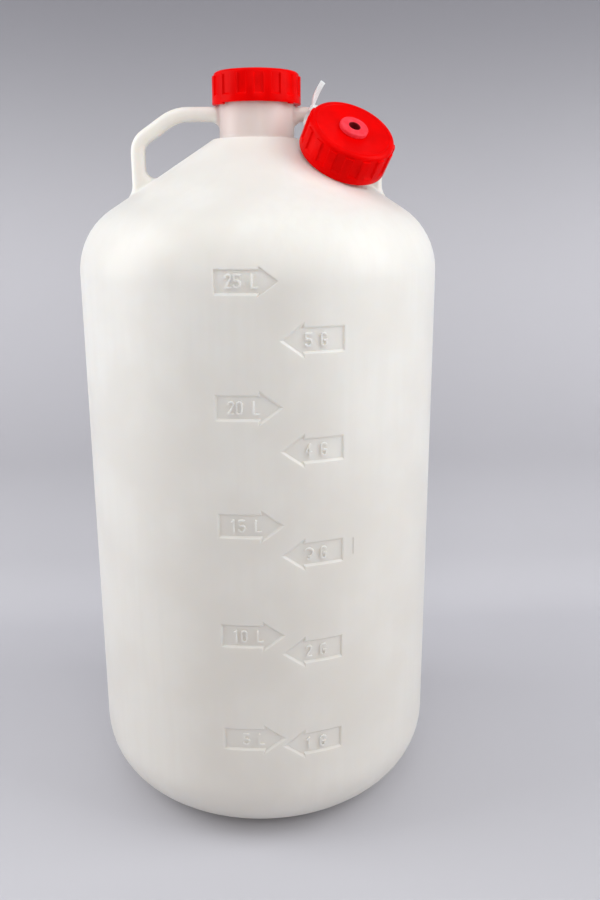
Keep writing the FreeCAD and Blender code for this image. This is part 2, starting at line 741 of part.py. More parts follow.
def spare_centre():
    """Centre of the spare cap's open end: in front of the grip, its rim down on the shoulder."""
    across = size("grip_reach") - size("spare_inboard")
    forward = -bar_front - size("spare_forward")
    lift = -1e9
    for angle in range(0, 360, 2):
        rim = Vector(across, forward, 0) + spare_direction(angle) * size("cap_band_radius")
        lift = max(lift, cone_height(math.hypot(rim.x, rim.y)) - rim.z)
    return Vector(across, forward, lift + size("fit_clearance") / math.cos(shoulder_angle))


spare_origin = spare_centre()


def spare_placement(height):
    """Placement that stands a piece on the spare cap's axis, turned as the cap is."""
    facing = spare_direction(size("spare_spin"))
    turned = Rotation(facing.cross(spare_axis), facing, spare_axis, "ZYX")
    return Placement(spare_origin + spare_axis * height, turned)


def spare_point(angle, radius, height):
    """A point placed by the spare cap: degrees from its highest side, radius, height above its rim."""
    return spare_origin + spare_direction(angle) * radius + spare_axis * height


def make_spare_cap():
    """The second cap, bored for a grommet and drilled through the skirt for the tie."""
    form = make_cap_form("spare_cap_form")
    bore = doc.addObject("Part::Cylinder", "grommet_hole")
    bore.setExpression("Radius", "sizes.grommet_waist + sizes.fit_clearance / 2")
    bore.setExpression("Height", "sizes.cap_height")
    bore.Placement = Placement(Vector(0, 0, cap_inside - 5), Rotation())
    drilled = doc.addObject("Part::Cylinder", "tie_hole")
    drilled.setExpression("Radius", "sizes.tie_hole_radius")
    drilled.setExpression("Height", "sizes.cap_band_radius")
    outward = Rotation(Vector(0, 0, 1), size("tie_hole_turn") - size("spare_spin"))
    start = outward.multVec(Vector(0, size("cap_smooth_radius") / 2, 0)) + Vector(0, 0, size("tie_hole_height"))
    drilled.Placement = Placement(start, outward * Rotation(Vector(1, 0, 0), -90))
    holes = doc.addObject("Part::MultiFuse", "spare_cap_holes")
    holes.Shapes = [bore, drilled]
    cap = doc.addObject("Part::Cut", "spare_cap")
    cap.Base, cap.Tool = form, holes
    cap.Placement = spare_placement(0)
    doc.recompute()
    return cap


def make_grommet():
    """The rubber grommet: a round head, a waist in the cap's top and a tail flange beneath it."""
    body = doc.addObject("PartDesign::Body", "grommet")
    sketch = new_sketch(body, "grommet_profile")
    head, waist, tail = size("grommet_radius"), size("grommet_waist"), size("grommet_tail")
    bore, edge = size("grommet_bore"), size("grommet_edge")
    wall = size("cap_top") - size("cap_rim_step")
    gap = 0.05
    bottom, under, over = -2.2, -gap, wall + gap
    top = over + size("grommet_head")
    corner = tangent_arc((head, over), (head, top), (bore, top), edge * 1.5)
    lip = tangent_arc((head, top), (bore, top), (bore, bottom), edge)
    lines = draw_chain(sketch, [
        ("line", (bore, bottom), (tail, bottom)),
        ("line", (tail, bottom), (tail, under)),
        ("line", (tail, under), (waist, under)),
        ("line", (waist, under), (waist, over)),
        ("line", (waist, over), (head, over)),
        ("line", (head, over), corner[0]),
        ("arc",) + corner,
        ("line", corner[2], lip[0]),
        ("arc",) + lip,
        ("line", lip[2], (bore, bottom)),
    ])
    bind_place(sketch, lines[0], START, "sizes.grommet_bore", None)
    bind_place(sketch, lines[1], START, "sizes.grommet_tail", None)
    bind_place(sketch, lines[3], START, "sizes.grommet_waist", None)
    bind_place(sketch, lines[5], START, "sizes.grommet_radius", None)
    bind_radius(sketch, lines[8], "sizes.grommet_edge")
    ring = body.newObject("PartDesign::Revolution", "grommet_ring")
    ring.Profile = sketch
    ring.ReferenceAxis = (sketch, ["V_Axis"])
    ring.Angle = 360
    body.Placement = spare_placement(cap_inside)
    doc.recompute()
    return body


# ---------------------------------------------------------------- cable tie

def smooth_route(points, acrosses, closed, count):
    """Stations along a smooth curve through the points: (centre, direction, across)."""
    curve = Part.BSplineCurve()
    curve.interpolate(points, PeriodicFlag=closed)
    knots = [curve.parameter(point) for point in points]
    if closed:
        knots.append(curve.LastParameter)
        acrosses = acrosses + acrosses[:1]
    stations = []
    for step in range(count if closed else count + 1):
        where = curve.FirstParameter + (curve.LastParameter - curve.FirstParameter) * step / count
        span = max(k for k in range(len(knots) - 1) if knots[k] <= where + 1e-9)
        share = (where - knots[span]) / (knots[span + 1] - knots[span])
        across = acrosses[span] * (1 - share) + acrosses[span + 1] * share
        stations.append((curve.value(where), Vector(*curve.tangent(where)[0]), across))
    return stations


def ribbon(stations, closed):
    """A flat strap through the stations."""
    half_wide, half_thick = size("tie_wide") / 2, size("tie_thick") / 2
    sections = []
    for centre, along, across in stations:
        across = (across - along * across.dot(along)).normalize()
        normal = along.cross(across).normalize()
        corners = [centre + across * (a * half_wide) + normal * (n * half_thick)
                   for a, n in ((1, 1), (-1, 1), (-1, -1), (1, -1))]
        sections.append(Part.makePolygon(corners + corners[:1]))
    if closed:
        sections.append(sections[0])
    return Part.makeLoft(sections, True, True, False)


def tie_loop_route():
    """The strap round the grip's bar and through the spare cap's skirt: places and across vectors."""
    lift = size("tie_gap") + size("tie_thick") / 2
    corner = (size("bar_edge") + lift + 0.3) * math.cos(math.pi / 4)
    corner_y = bar_front - size("bar_edge") + corner
    corner_z = bar_half - size("bar_edge") + corner
    front, over = bar_front + lift, bar_half + lift
    head_x = size("tie_place")
    hole = size("tie_hole_turn")
    skirt_middle = (cap_bore + size("cap_smooth_radius")) / 2
    inside = cap_bore - lift - 0.9
    outside = size("cap_band_radius") + lift + 0.6
    hole_height = size("tie_hole_height")
    slanted = Vector(0.87, 0, -0.48)
    level = Vector(1, 0, 0)
    rim = -spare_direction(hole + 90)
    return [
        (Vector(head_x, -front, bar_height + 2.6), slanted),
        (Vector(head_x - 3.0, -front, bar_height - 1.4), slanted),
        (Vector(head_x - 5.0, -front - 0.6, bar_height - 6.4), slanted),
        (spare_point(hole + 4, skirt_middle + 2.5, -2.9), (rim + level)),
        (spare_point(hole + 2, inside, 2.0), rim),
        (spare_point(hole + 1, inside, hole_height - 2.4), rim),
        (spare_point(hole, skirt_middle, hole_height), rim),
        (spare_point(hole - 2, outside, hole_height + 0.6), rim),
        (Vector(head_x + 2.2, -corner_y - 0.4, bar_height - corner_z - 0.4), level),
        (Vector(head_x + 3.0, 0, bar_height - over), level),
        (Vector(head_x + 3.4, corner_y, bar_height - corner_z), level),
        (Vector(head_x + 3.6, front, bar_height), level),
        (Vector(head_x + 3.4, corner_y, bar_height + corner_z), level),
        (Vector(head_x + 2.6, 0, bar_height + over), level),
        (Vector(head_x + 1.2, -corner_y, bar_height + corner_z), (slanted + level)),
    ]


def make_cable_tie():
    """The cable tie in one piece: loop, head, and the long end left standing."""
    route = tie_loop_route()
    loop = ribbon(smooth_route([p for p, _ in route], [a for _, a in route], True, 90), True)
    head_centre = route[0][0] + Vector(0, -size("tie_head_depth") / 2 + 0.4, 0)
    turn = Rotation(Vector(0, 1, 0), size("tie_lean"))
    head = Part.makeBox(size("tie_head"), size("tie_head_depth"), size("tie_head"),
                        Vector(-size("tie_head") / 2, -size("tie_head_depth") / 2, -size("tie_head") / 2))
    head = head.makeFillet(0.8, head.Edges)
    head.Placement = Placement(head_centre, turn)
    drawn_tail = 17.0
    share = size("tie_tail") / drawn_tail
    root = head_centre + Vector(0.2, 0, 1.0)
    tail_points = [root, root + Vector(0.8, 0, 4.2) * share, root + Vector(2.6, -0.2, 9.6) * share,
                   root + Vector(5.2, -0.4, 14.6) * share, root + Vector(7.9, -0.2, 18.8) * share]
    edge_on = Vector(0.25, 1, 0)
    face_on = Vector(1, 0.1, -0.4)
    acrosses = [edge_on, edge_on * 0.95 + face_on * 0.3, face_on * 0.9 + edge_on * 0.3, face_on, face_on]
    tail = ribbon(smooth_route(tail_points, acrosses, False, 24), False)
    tie = doc.addObject("Part::Feature", "cable_tie")
    tie.Shape = loop.fuse([head, tail])
    doc.recompute()
    return tie


# ---------------------------------------------------------------- build, check and write

def check_document():
    """Stop if any object failed to recompute."""
    for item in doc.Objects:
        if "Invalid" in item.State or "Error" in item.State:
            raise RuntimeError("%s failed: %s" % (item.Name, item.State))


parts = {
    "carboy": make_carboy(),
    "screw_cap": make_screw_cap(),
    "spare_cap": make_spare_cap(),
    "grommet": make_grommet(),
    "cable_tie": make_cable_tie(),
}
check_document()
for label, item in parts.items():
    item.Label = label
    if item.Shape.isNull() or not item.Shape.isValid() or len(item.Shape.Solids) != 1:
        raise RuntimeError("%s is not one sound solid" % label)
os.makedirs("parts", exist_ok=True)
for label, item in parts.items():
    item.Shape.exportStep("parts/%s.step" % label)
    box = item.Shape.BoundBox
    print("%-10s volume %.0f mm3, x %.1f..%.1f, y %.1f..%.1f, z %.1f..%.1f" % (
        label, item.Shape.Volume, box.XMin, box.XMax, box.YMin, box.YMax, box.ZMin, box.ZMax))
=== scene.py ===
"""The looks of a 25 litre carboy: milky bottle, red screw caps, rubber grommet, cable tie and stage.

Lengths are in metres unless a name says millimetres.  +Z is up and the bottle's axis is the Z axis.
The graduations face -Y and the grips lie along X.
"""
import math

import bpy
from bpy.props import FloatProperty, FloatVectorProperty, PointerProperty
from mathutils import Matrix, Vector


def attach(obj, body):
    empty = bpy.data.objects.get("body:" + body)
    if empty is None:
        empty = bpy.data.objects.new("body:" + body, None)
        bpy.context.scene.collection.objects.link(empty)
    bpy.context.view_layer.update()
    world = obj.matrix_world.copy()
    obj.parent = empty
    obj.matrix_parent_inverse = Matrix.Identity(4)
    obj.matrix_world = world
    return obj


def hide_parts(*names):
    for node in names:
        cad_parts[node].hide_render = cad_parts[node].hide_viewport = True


bl_info = {
    "name": "Carboy",
    "version": (1, 0, 0),
    "blender": (4, 5, 0),
    "location": "3D View > Sidebar > Carboy",
    "description": "Builds the pieces, finishes and stage of a 25 litre carboy",
    "category": "Object",
}

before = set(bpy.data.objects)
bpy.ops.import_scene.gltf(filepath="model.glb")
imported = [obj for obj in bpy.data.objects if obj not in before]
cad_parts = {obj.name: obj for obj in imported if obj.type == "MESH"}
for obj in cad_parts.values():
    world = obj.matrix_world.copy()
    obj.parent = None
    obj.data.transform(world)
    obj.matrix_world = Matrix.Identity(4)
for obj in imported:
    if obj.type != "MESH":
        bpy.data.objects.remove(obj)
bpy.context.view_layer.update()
MM = 0.001
WAVE_RATE = 20  # a Wave Texture's bands go through this many radians in each unit of its scale

# where the bottle's finish, its painted shade and its painted red glow change, each a start and an end
FOOT_CONTACT_SHADE = (0.0, 9 * MM)
LOW_WALL_SHADE_SPAN = (60 * MM, 440 * MM)
NECK_FOOT = (532 * MM, 540 * MM)
NECK_SKIN = (30 * MM, 33 * MM)
NECK_SIDES = (-30 * MM, 30 * MM)
PARTING_LINE = (0.12 * MM, 0.45 * MM)
SCUFF_X, SCUFF_Z = 65.4 * MM, 246.8 * MM
SCUFF_HALF_WIDTH = (0.3 * MM, 0.9 * MM)
SCUFF_HALF_HEIGHT = (5.5 * MM, 7.2 * MM)
FRONT_ONLY = (-110 * MM, -100 * MM)

# where the paper's painted shade changes with height, each a start and an end
BEND_FOOT = (0.0, 0.05)
BEND_HEAD = (0.10, 0.34)
WALL_HEAD = (0.36, 0.80)

UNDER_FOOT = 0.2 * MM  # how far the paper lies under the bottle's foot
BEND_STEPS = 16
BEVELLED_EDGE = 28  # degrees: the moulded pieces' edges sharper than this are rounded
CREASE = 32  # degrees: the moulded pieces' edges sharper than this stay crisp
SOFT_BOXES = (  # name, place, width, height, watts and colour
    ("box_left", (-1.25, -0.1, 0.88), 0.9, 1.4, 12.6, (0.97, 0.99, 1.0)),
    ("box_right", (1.2, -0.4, 0.95), 0.9, 1.4, 12.2, (0.97, 0.99, 1.0)),
    ("box_top", (0.0, -0.45, 1.75), 1.4, 1.0, 4.8, (0.95, 0.98, 1.0)),
    ("fill_front", (0.1, -2.15, 1.5), 1.6, 1.6, 12.0, (1.0, 0.96, 0.915)),
)


# ---------------------------------------------------------------- colours and shader nodes

def linear(hex_colour):
    """An sRGB hex colour as linear red, green, blue and a full alpha."""
    channels = [int(hex_colour[start:start + 2], 16) / 255 for start in (1, 3, 5)]
    return [c / 12.92 if c <= 0.04045 else ((c + 0.055) / 1.055) ** 2.4 for c in channels] + [1.0]


def add_node(tree, kind, settings=None, inputs=None):
    """Adds a shader node, sets its properties, and fills or links its inputs."""
    node = tree.nodes.new(kind)
    for name, value in (settings or {}).items():
        setattr(node, name, value)
    for name, value in (inputs or {}).items():
        if isinstance(value, bpy.types.NodeSocket):
            tree.links.new(value, node.inputs[name])
        else:
            node.inputs[name].default_value = value
    return node


def new_finish(name):
    """A material with a plain Principled surface: the material, its tree, its shader and its places."""
    material = bpy.data.materials.new(name)
    material.use_nodes = True
    tree = material.node_tree
    tree.nodes.clear()
    shader = add_node(tree, "ShaderNodeBsdfPrincipled")
    add_node(tree, "ShaderNodeOutputMaterial", inputs={"Surface": shader.outputs["BSDF"]})
    place = add_node(tree, "ShaderNodeTexCoord").outputs["Object"]
    return material, tree, shader, place


def noise(tree, place, grain_mm, detail=2.0):
    """Noise whose grains are about this many millimetres across."""
    return add_node(tree, "ShaderNodeTexNoise", inputs={
        "Vector": place, "Scale": 1 / (grain_mm * MM), "Detail": detail,
    }).outputs["Fac"]


def mix_colours(tree, share, first, second):
    """Two colours mixed by a share from 0 to 1; the Mix node's colour sockets are numbers 6, 7 and 2."""
    node = add_node(tree, "ShaderNodeMix", {"data_type": "RGBA"}, {0: share, 6: first, 7: second})
    return node.outputs[2]


def fade(tree, value, span, start=0.0, end=1.0):
    """Goes smoothly from start to end as a value crosses a span, and stays there beyond it."""
    return add_node(tree, "ShaderNodeMapRange", {"interpolation_type": "SMOOTHSTEP"}, {
        "Value": value, "From Min": span[0], "From Max": span[1], "To Min": start, "To Max": end,
    }).outputs["Result"]


def multiply(tree, first, second):
    """Two values multiplied."""
    return add_node(tree, "ShaderNodeMath", {"operation": "MULTIPLY"}, {0: first, 1: second}).outputs[0]


def combine(tree, operation, first, second):
    """The vector that a vector operation makes of two others."""
    node = add_node(tree, "ShaderNodeVectorMath", {"operation": operation}, {0: first, 1: second})
    return node.outputs["Vector"]


def length_of(tree, vector):
    """How long a vector is."""
    return add_node(tree, "ShaderNodeVectorMath", {"operation": "LENGTH"}, {0: vector}).outputs["Value"]


def distance_from(tree, value, middle):
    """How far a value is from a middle value."""
    apart = add_node(tree, "ShaderNodeMath", {"operation": "SUBTRACT"}, {0: value, 1: middle})
    return add_node(tree, "ShaderNodeMath", {"operation": "ABSOLUTE"}, {0: apart.outputs[0]}).outputs[0]


def bump(tree, height, depth_mm, under=None):
    """A relief of this depth where the height goes from 0 to 1, on top of another relief."""
    inputs = {"Strength": 1.0, "Distance": depth_mm * MM, "Height": height}
    if under is not None:
        inputs["Normal"] = under
    return add_node(tree, "ShaderNodeBump", inputs=inputs).outputs["Normal"]


# ---------------------------------------------------------------- finishes

def blow_moulded_polyethylene(look):
    """Natural high-density polyethylene, blow-moulded.

    It is milky and lets light through, with a soft waxy sheen.  The blown wall is never quite even,
    so its white is faintly mottled and its sheen wavers.  The mould leaves a fine parting line at y = 0.
    The white is painted a little warmer and greyer towards the foot as shade, with a darker painted
    contact shade at the foot itself, and the neck is painted with the red glow that the cap casts on it.
    """
    material, tree, shader, place = new_finish("natural_polyethylene_blow_moulded")
    axes = add_node(tree, "ShaderNodeSeparateXYZ", inputs={"Vector": place}).outputs

    mottle = fade(tree, noise(tree, place, 70.0, 3.0), (0.35, 0.65))
    drawn = add_node(tree, "ShaderNodeMapping", inputs={"Vector": place, "Scale": (1, 1, 0.07)})
    streaks = fade(tree, noise(tree, drawn.outputs["Vector"], 7.0, 3.0), (0.4, 0.7))
    colour = mix_colours(tree, mottle, look.thin_wall, look.thick_wall)
    colour = mix_colours(tree, multiply(tree, streaks, 0.35), colour, look.thin_wall)
    # painted shade: the wall is painted warmer and greyer lower down
    colour = mix_colours(tree, fade(tree, axes["Z"], LOW_WALL_SHADE_SPAN, 0.24, 0.0), colour, look.low_wall_painted_shade)
    # painted contact shade: the wall is darker and browner at the very foot
    colour = mix_colours(tree, fade(tree, axes["Z"], FOOT_CONTACT_SHADE, 0.55, 0.0), colour, look.foot_shade_and_scuff)

    from_axis = length_of(tree, combine(tree, "MULTIPLY", place, (1, 1, 0)))
    # painted reflection: the red glow that the cap casts on the neck, stronger towards -X
    neck = multiply(tree, fade(tree, axes["Z"], NECK_FOOT), fade(tree, from_axis, NECK_SKIN, 1.0, 0.0))
    neck = multiply(tree, neck, fade(tree, axes["X"], NECK_SIDES, 0.75, 0.15))
    colour = mix_colours(tree, neck, colour, look.neck_painted_red_glow)

    parting = fade(tree, distance_from(tree, axes["Y"], 0.0), PARTING_LINE, 1.0, 0.0)
    scuff_across = fade(tree, distance_from(tree, axes["X"], SCUFF_X), SCUFF_HALF_WIDTH, 1.0, 0.0)
    scuff_along = fade(tree, distance_from(tree, axes["Z"], SCUFF_Z), SCUFF_HALF_HEIGHT, 1.0, 0.0)
    front = fade(tree, axes["Y"], FRONT_ONLY, 1.0, 0.0)
    scuff = multiply(tree, multiply(tree, scuff_across, scuff_along), front)
    # the real scuff takes the same colour as the painted shade at the foot
    colour = mix_colours(tree, multiply(tree, scuff, 0.35), colour, look.foot_shade_and_scuff)

    relief = bump(tree, noise(tree, place, 42.0, 1.0), 0.5)
    relief = bump(tree, noise(tree, place, 1.6), 0.012, relief)
    relief = bump(tree, parting, 0.12, relief)
    relief = bump(tree, scuff, -0.35, relief)  # a short upright scratch on the front

    tree.links.new(colour, shader.inputs["Base Color"])
    tree.links.new(fade(tree, mottle, (0, 1), look.roughness - 0.04, look.roughness + 0.05),
                   shader.inputs["Roughness"])
    tree.links.new(relief, shader.inputs["Normal"])
    shader.inputs["IOR"].default_value = 1.54
    shader.inputs["Subsurface Weight"].default_value = look.milkiness
    shader.inputs["Subsurface Radius"].default_value = (1.0, 0.86, 0.72)
    shader.inputs["Subsurface Scale"].default_value = look.light_depth
    shader.inputs["Specular IOR Level"].default_value = 0.45
    return material


def moulded_polypropylene(look):
    """Red polypropylene, injection-moulded in a finely blasted mould: a strong even red, half glossy.

    Its specular level is well under the usual one, so that the grey room doesn't wash out the red.
    """
    material, tree, shader, place = new_finish("red_polypropylene_moulded")
    cloud = fade(tree, noise(tree, place, 18.0), (0.35, 0.65))
    colour = mix_colours(tree, cloud, look.red, look.deep_red)
    relief = bump(tree, noise(tree, place, 9.0, 1.0), 0.05)
    relief = bump(tree, noise(tree, place, 0.7), 0.006, relief)
    tree.links.new(colour, shader.inputs["Base Color"])
    tree.links.new(fade(tree, cloud, (0, 1), look.roughness - 0.03, look.roughness + 0.04),
                   shader.inputs["Roughness"])
    tree.links.new(relief, shader.inputs["Normal"])
    shader.inputs["IOR"].default_value = 1.49
    shader.inputs["Specular IOR Level"].default_value = 0.035
    return material


def moulded_silicone(look):
    """Pinkish red silicone rubber, compression-moulded: soft and dull, lighter where light goes in.

    The wall of its hole is painted a dark red shade, as little light comes back out of it.
    """
    material, tree, shader, place = new_finish("pink_silicone_moulded")
    bloom = fade(tree, noise(tree, place, 4.0, 3.0), (0.35, 0.7))
    colour = mix_colours(tree, multiply(tree, bloom, 0.5), look.rubber, look.rubber_bloom)
    axis, centre = axis_and_centre("grommet")
    from_centre = combine(tree, "SUBTRACT", place, centre)
    aside = length_of(tree, combine(tree, "CROSS_PRODUCT", from_centre, axis))
    hole = fade(tree, aside, (look.hole_radius, look.hole_radius + look.hole_lip), 1.0, 0.0)
    # painted shade on the wall of the grommet's hole
    colour = mix_colours(tree, hole, colour, look.hole_shade)
    tree.links.new(colour, shader.inputs["Base Color"])
    tree.links.new(bump(tree, noise(tree, place, 0.5), 0.008), shader.inputs["Normal"])
    shader.inputs["Roughness"].default_value = 0.55
    shader.inputs["IOR"].default_value = 1.41
    shader.inputs["Specular IOR Level"].default_value = 0.3
    shader.inputs["Subsurface Weight"].default_value = 0.1
    shader.inputs["Subsurface Radius"].default_value = (1.0, 0.3, 0.25)
    shader.inputs["Subsurface Scale"].default_value = 0.8 * MM
    return material


def moulded_nylon(look):
    """Natural nylon, injection-moulded: white, a little clear, with a satin skin and a ladder of teeth.

    Its white leans to blue, because the light that reaches the tie from the caps is red.
    """
    material, tree, shader, place = new_finish("natural_nylon_moulded")
    cloud = fade(tree, noise(tree, place, 5.0), (0.35, 0.65))
    tree.links.new(mix_colours(tree, multiply(tree, cloud, 0.5), look.nylon, look.nylon_shade),
                   shader.inputs["Base Color"])
    along = add_node(tree, "ShaderNodeMapping", inputs={
        "Vector": place, "Rotation": (0, math.radians(-look.tail_lean), 0)})
    rungs = add_node(tree, "ShaderNodeTexWave", {"wave_type": "BANDS", "bands_direction": "Z"}, {
        "Vector": along.outputs["Vector"], "Scale": 2 * math.pi / (WAVE_RATE * look.tooth_pitch)})
    relief = bump(tree, rungs.outputs["Fac"], 0.18)
    relief = bump(tree, noise(tree, place, 0.6), 0.006, relief)
    tree.links.new(relief, shader.inputs["Normal"])
    shader.inputs["Roughness"].default_value = 0.34
    shader.inputs["IOR"].default_value = 1.53
    shader.inputs["Subsurface Weight"].default_value = 0.35
    shader.inputs["Subsurface Radius"].default_value = (1.0, 1.0, 1.0)
    shader.inputs["Subsurface Scale"].default_value = 1.5 * MM
    return material


def matt_paper(look):
    """A roll of matt pale grey background paper, with the faintest cloud in its tone, painted darker as
    shade where it turns up and high on the wall.

    Its back is clear, so that the wall doesn't hide the bottle from behind.
    """
    material, tree, shader, place = new_finish("grey_paper_matt")
    cloud = fade(tree, noise(tree, place, 600.0), (0.3, 0.7))
    colour = mix_colours(tree, cloud, look.paper, look.paper_shade)
    height = add_node(tree, "ShaderNodeSeparateXYZ", inputs={"Vector": place}).outputs["Z"]
    # painted shade: the paper is darker where it turns up into the wall
    bend = multiply(tree, fade(tree, height, BEND_FOOT), fade(tree, height, BEND_HEAD, 1.0, 0.0))
    colour = mix_colours(tree, bend, colour, look.paper_bend_painted_shade)
    # painted shade: the wall is painted darker higher up, where less light reaches it
    colour = mix_colours(tree, fade(tree, height, WALL_HEAD), colour, look.paper_top_painted_shade)
    tree.links.new(colour, shader.inputs["Base Color"])
    tree.links.new(bump(tree, noise(tree, place, 0.8, 3.0), 0.02), shader.inputs["Normal"])
    shader.inputs["Roughness"].default_value = 0.9
    shader.inputs["Specular IOR Level"].default_value = 0.2
    one_sided = add_node(tree, "ShaderNodeMixShader", inputs={
        0: add_node(tree, "ShaderNodeNewGeometry").outputs["Backfacing"],
        1: shader.outputs["BSDF"],
        2: add_node(tree, "ShaderNodeBsdfTransparent").outputs["BSDF"],
    })
    tree.links.new(one_sided.outputs["Shader"], tree.nodes["Material Output"].inputs["Surface"])
    return material


# ---------------------------------------------------------------- modelling helpers

def deselect_all():
    """Leaves edit mode with nothing selected."""
    if bpy.context.object and bpy.context.object.mode != "OBJECT":
        bpy.ops.object.mode_set(mode="OBJECT")
    bpy.ops.object.select_all(action="DESELECT")


def make_active(piece):
    """Selects one object alone and makes it the active one."""
    deselect_all()
    piece.select_set(True)
    bpy.context.view_layer.objects.active = piece


def apply_modifier(piece, kind, name, **settings):
    """Adds a modifier with its settings and applies it at once."""
    make_active(piece)
    modifier = piece.modifiers.new(name, kind)
    for key, value in settings.items():
        setattr(modifier, key, value)
    bpy.ops.object.modifier_apply(modifier=modifier.name)


def merged_copy(node, name):
    """A copy of a CAD node's mesh as a piece of its own, its loose triangles joined up."""
    piece = bpy.data.objects.new(name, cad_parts[node].data.copy())
    bpy.context.scene.collection.objects.link(piece)
    make_active(piece)
    if piece.data.has_custom_normals:
        bpy.ops.mesh.customdata_custom_splitnormals_clear()
    bpy.ops.object.mode_set(mode="EDIT")
    bpy.ops.mesh.select_all(action="SELECT")
    bpy.ops.mesh.remove_doubles(threshold=0.002 * MM)
    bpy.ops.object.mode_set(mode="OBJECT")
    return piece


def smooth(piece, angle_deg):
    """Smooth shading, broken at edges sharper than the angle."""
    make_active(piece)
    bpy.ops.object.shade_smooth_by_angle(angle=math.radians(angle_deg))


def finish_piece(piece, material, node):
    """Gives a piece its material and its body, and hides the CAD node that it stands for."""
    piece.data.materials.clear()
    piece.data.materials.append(material)
    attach(piece, "root")
    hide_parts(node)


def axis_and_centre(node):
    """A turned node's upward axis, square to its largest flat area, and the point of it nearest to 0."""
    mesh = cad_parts[node].data
    areas = {}
    for face in mesh.polygons:
        normal = face.normal if face.normal.z > 0 else -face.normal
        key = tuple(round(c, 2) for c in normal)
        total, weighted = areas.get(key, (0.0, Vector()))
        areas[key] = (total + face.area, weighted + normal * face.area)
    axis = max(areas.values(), key=lambda entry: entry[0])[1].normalized()
    centre = Vector()
    for side in (axis.orthogonal().normalized(), axis.cross(axis.orthogonal()).normalized()):
        reaches = [vertex.co.dot(side) for vertex in mesh.vertices]
        centre += side * (min(reaches) + max(reaches)) / 2
    return axis, centre


# ---------------------------------------------------------------- settings

class CarboyBottleLook(bpy.types.PropertyGroup):
    """Colour and sheen of the bottle."""
    thin_wall: FloatVectorProperty(
        name="Thin wall", description="Colour where the blown wall is thin",
        subtype="COLOR", size=4, min=0, max=1, default=linear("#E6E3DD"))
    thick_wall: FloatVectorProperty(
        name="Thick wall", description="Colour where the blown wall is thick",
        subtype="COLOR", size=4, min=0, max=1, default=linear("#EBE9E4"))
    # painted shade that the wall takes on lower down
    low_wall_painted_shade: FloatVectorProperty(
        name="Low wall", description="Colour towards which the wall goes lower down",
        subtype="COLOR", size=4, min=0, max=1, default=linear("#C9C0B4"))
    # painted reflection: the red glow that the cap casts on the clear neck
    neck_painted_red_glow: FloatVectorProperty(
        name="Neck tint", description="Colour that the red cap lends to the clear neck",
        subtype="COLOR", size=4, min=0, max=1, default=linear("#D9C3BE"))
    # painted contact shade at the foot; the same colour also marks the real scuff
    foot_shade_and_scuff: FloatVectorProperty(
        name="Foot dust", description="Colour of the dust and wear at the foot",
        subtype="COLOR", size=4, min=0, max=1, default=linear("#B9AFA2"))
    roughness: FloatProperty(
        name="Roughness", description="Mean roughness of the waxy skin",
        subtype="FACTOR", min=0, max=1, default=0.40)
    milkiness: FloatProperty(
        name="Milkiness", description="Share of the light that scatters in the wall",
        subtype="FACTOR", min=0, max=1, default=0.88)
    light_depth: FloatProperty(
        name="Light depth", description="How far light spreads inside the wall",
        unit="LENGTH", min=0, default=7 * MM)
    crease_angle: FloatProperty(
        name="Crease angle", description="Edges sharper than this stay crisp, in degrees",
        min=0, max=180, default=24.0)


class CarboyCapLook(bpy.types.PropertyGroup):
    """Colour and finish of the two screw caps."""
    red: FloatVectorProperty(
        name="Red", description="Main colour of the caps",
        subtype="COLOR", size=4, min=0, max=1, default=linear("#EC0000"))
    deep_red: FloatVectorProperty(
        name="Deep red", description="Second tone of the caps",
        subtype="COLOR", size=4, min=0, max=1, default=linear("#DE0000"))
    roughness: FloatProperty(
        name="Roughness", description="Mean roughness of the caps",
        subtype="FACTOR", min=0, max=1, default=0.34)
    edge_rounding: FloatProperty(
        name="Edge rounding", description="Radius on the caps' moulded edges",
        unit="LENGTH", min=0, default=0.35 * MM)


class CarboyFittingLook(bpy.types.PropertyGroup):
    """Colours and sizes of the grommet and the cable tie."""
    rubber: FloatVectorProperty(
        name="Rubber", description="Main colour of the grommet",
        subtype="COLOR", size=4, min=0, max=1, default=linear("#F2303F"))
    rubber_bloom: FloatVectorProperty(
        name="Rubber bloom", description="Lighter tone of the grommet",
        subtype="COLOR", size=4, min=0, max=1, default=linear("#FA4D5C"))
    # painted shade on the wall of the hole
    hole_shade: FloatVectorProperty(
        name="Hole shade", description="Colour of the wall of the grommet's hole",
        subtype="COLOR", size=4, min=0, max=1, default=linear("#7E0B16"))
    hole_radius: FloatProperty(
        name="Hole radius", description="Radius of the grommet's hole",
        unit="LENGTH", min=0, default=4.25 * MM)
    hole_lip: FloatProperty(
        name="Hole lip", description="Width over which the hole's tone fades out",
        unit="LENGTH", min=0, default=0.5 * MM)
    nylon: FloatVectorProperty(
        name="Nylon", description="Main colour of the cable tie",
        subtype="COLOR", size=4, min=0, max=1, default=linear("#F2FEFF"))
    nylon_shade: FloatVectorProperty(
        name="Nylon shade", description="Darker tone of the cable tie",
        subtype="COLOR", size=4, min=0, max=1, default=linear("#E8F6F8"))
    tooth_pitch: FloatProperty(
        name="Tooth pitch", description="Spacing of the teeth on the cable tie",
        unit="LENGTH", min=0, default=1.1 * MM)
    tail_lean: FloatProperty(
        name="Tail lean", description="How far the tie's tail leans over, in degrees",
        default=26.0)


